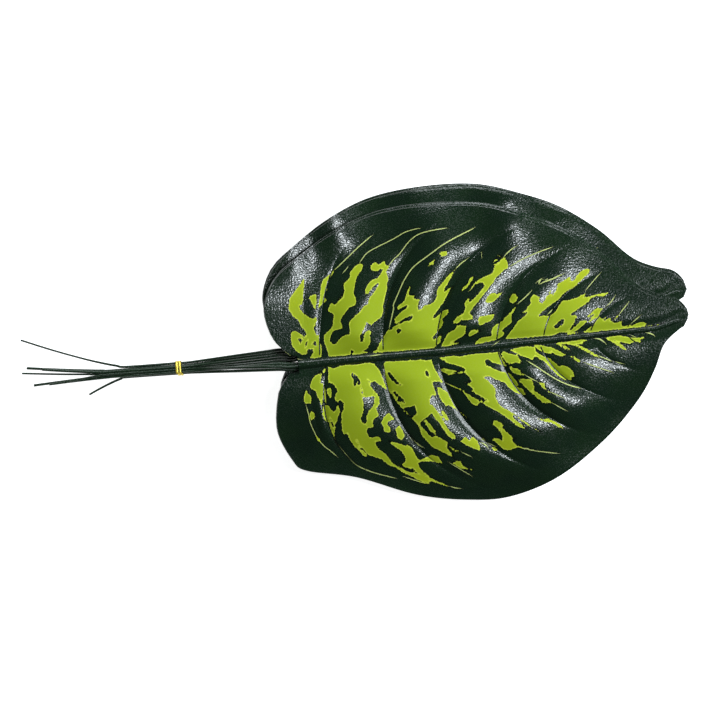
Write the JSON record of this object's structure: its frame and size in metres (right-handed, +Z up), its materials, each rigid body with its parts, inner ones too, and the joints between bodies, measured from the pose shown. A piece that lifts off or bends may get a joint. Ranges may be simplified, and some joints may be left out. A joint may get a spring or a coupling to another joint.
{
  "type": "tied bunch of artificial caladium leaves",
  "caption": "flat-lying bunch of large heart-shaped artificial leaves with quilted veins and lime markings, their wire stems gathered by a gold twist tie",
  "frame": {"origin": "middle of the bunch's bounding box, on the plane that it lies on", "axes": "+X runs from the cut wire ends to the leaf tips, +Y to the side where the rear leaves show, +Z up"},
  "size_m": [0.4522, 0.2142, 0.0429],
  "materials": {
    "leaf": "satin dark green with a fine leather grain, and smooth lime markings along the veins",
    "stem": "glossy dark green coating over wire",
    "tie": "gold-coloured coating over wire"
  },
  "bodies": {
    "root": {"blade_1": "leaf", "blade_2": "leaf", "blade_3": "leaf", "blade_4": "leaf", "blade_5": "leaf", "blade_6": "leaf", "blade_7": "leaf", "blade_8": "leaf", "stem_1": "stem", "stem_2": "stem", "stem_3": "stem", "stem_4": "stem", "stem_5": "stem", "stem_6": "stem", "stem_7": "stem", "stem_8": "stem", "twist_tie": "tie"}
  },
  "joints": []
}
